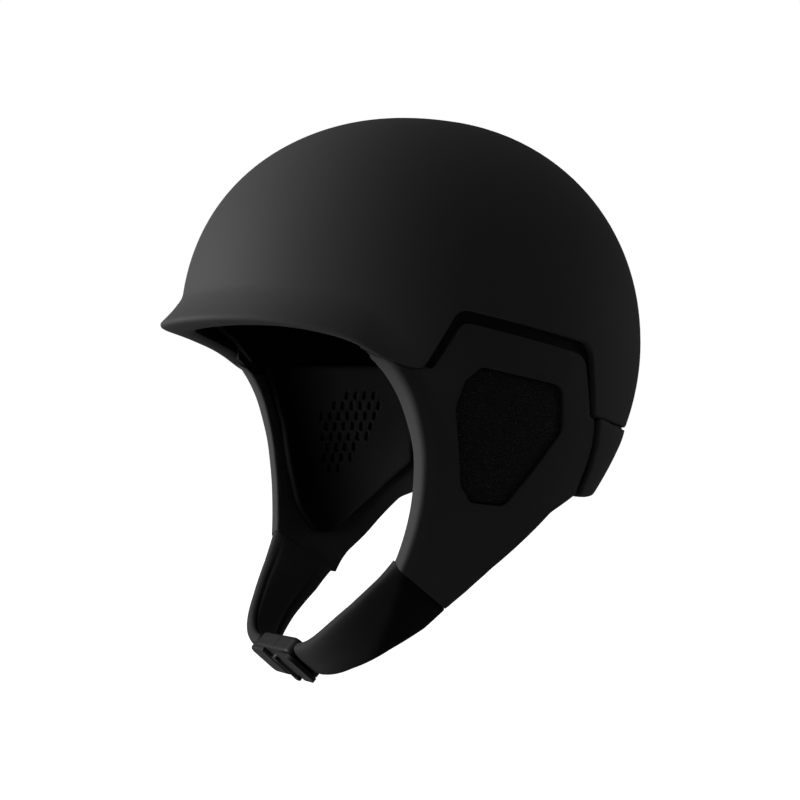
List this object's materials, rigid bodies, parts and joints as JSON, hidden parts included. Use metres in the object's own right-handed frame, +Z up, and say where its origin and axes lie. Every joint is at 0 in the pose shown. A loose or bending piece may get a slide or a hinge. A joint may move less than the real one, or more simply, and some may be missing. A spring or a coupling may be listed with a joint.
{
  "type": "water helmet",
  "caption": "Open-face water sports helmet: hard shell with a short peak, foam-lined side panels with ear mesh, nape cradle and padded chin strap with a magnetic buckle.",
  "frame": {"origin": "centre of the head cavity, on the widest level of the shell", "axes": "+X to the wearer's left, -Y to the front where the peak is, +Z up to the crown"},
  "size_m": [0.2079, 0.2581, 0.2907],
  "materials": {
    "shell": "soft-touch matte",
    "foam": "moulded closed-cell foam",
    "comfort_foam": "knit over foam",
    "panel": "moulded foam with a smooth skin",
    "band": "matte",
    "mesh": "perforated, matte",
    "cradle": "soft-touch matte",
    "sleeve": "neoprene",
    "webbing": "woven",
    "buckle": "satin",
    "magnet": "plated",
    "steel": "stainless"
  },
  "bodies": {
    "helmet": {"outer_shell": "shell", "impact_liner": "foam", "crown_pad": "comfort_foam", "brow_pad": "comfort_foam", "rear_pad": "comfort_foam", "side_pad_left": "comfort_foam", "side_pad_right": "comfort_foam", "side_panel_left": "panel", "side_panel_right": "panel", "panel_band_left": "band", "panel_band_right": "band", "ear_mesh_left": "mesh", "ear_mesh_right": "mesh", "ear_pad_left": "comfort_foam", "ear_pad_right": "comfort_foam", "strap_anchor_left": "webbing", "strap_anchor_right": "webbing", "panel_studs": "steel"},
    "nape": {"nape_cradle": "cradle", "nape_pad": "comfort_foam", "nape_pin": "steel"},
    "strap_left": {"chin_sleeve_left": "sleeve", "strap_webbing_left": "webbing", "buckle_latch": "buckle", "latch_magnet": "magnet", "latch_bar": "steel", "tab_pin": "steel"},
    "tab": {"release_tab": "buckle"},
    "strap_right": {"chin_sleeve_right": "sleeve", "strap_webbing_right": "webbing", "buckle_base": "buckle", "base_magnet": "magnet", "base_bar": "steel"}
  },
  "joints": [
    {"name": "nape_tilt", "type": "hinge", "parent": "helmet", "child": "nape", "pos_m": [0, 0.104, -0.05], "axis": [1, 0, 0], "range_deg": [0, 12], "stiffness_Nm_per_rad": 0.6, "springref_deg": -20.05},
    {"name": "strap_left_swing", "type": "hinge", "parent": "helmet", "child": "strap_left", "pos_m": [0.07482, -0.03857, -0.11814], "axis": [0.1799, -0.7797, 0.5998], "range_deg": [0, 60]},
    {"name": "strap_right_swing", "type": "hinge", "parent": "helmet", "child": "strap_right", "pos_m": [-0.07482, -0.03857, -0.11814], "axis": [0.1799, 0.7797, -0.5998], "range_deg": [0, 60]},
    {"name": "release_tab_pivot", "type": "hinge", "parent": "strap_left", "child": "tab", "pos_m": [0.011, -0.07943, -0.16321], "axis": [0.115, 0.7163, -0.6883], "range_deg": [0, 35], "stiffness_Nm_per_rad": 0.003, "springref_deg": -17.19}
  ]
}
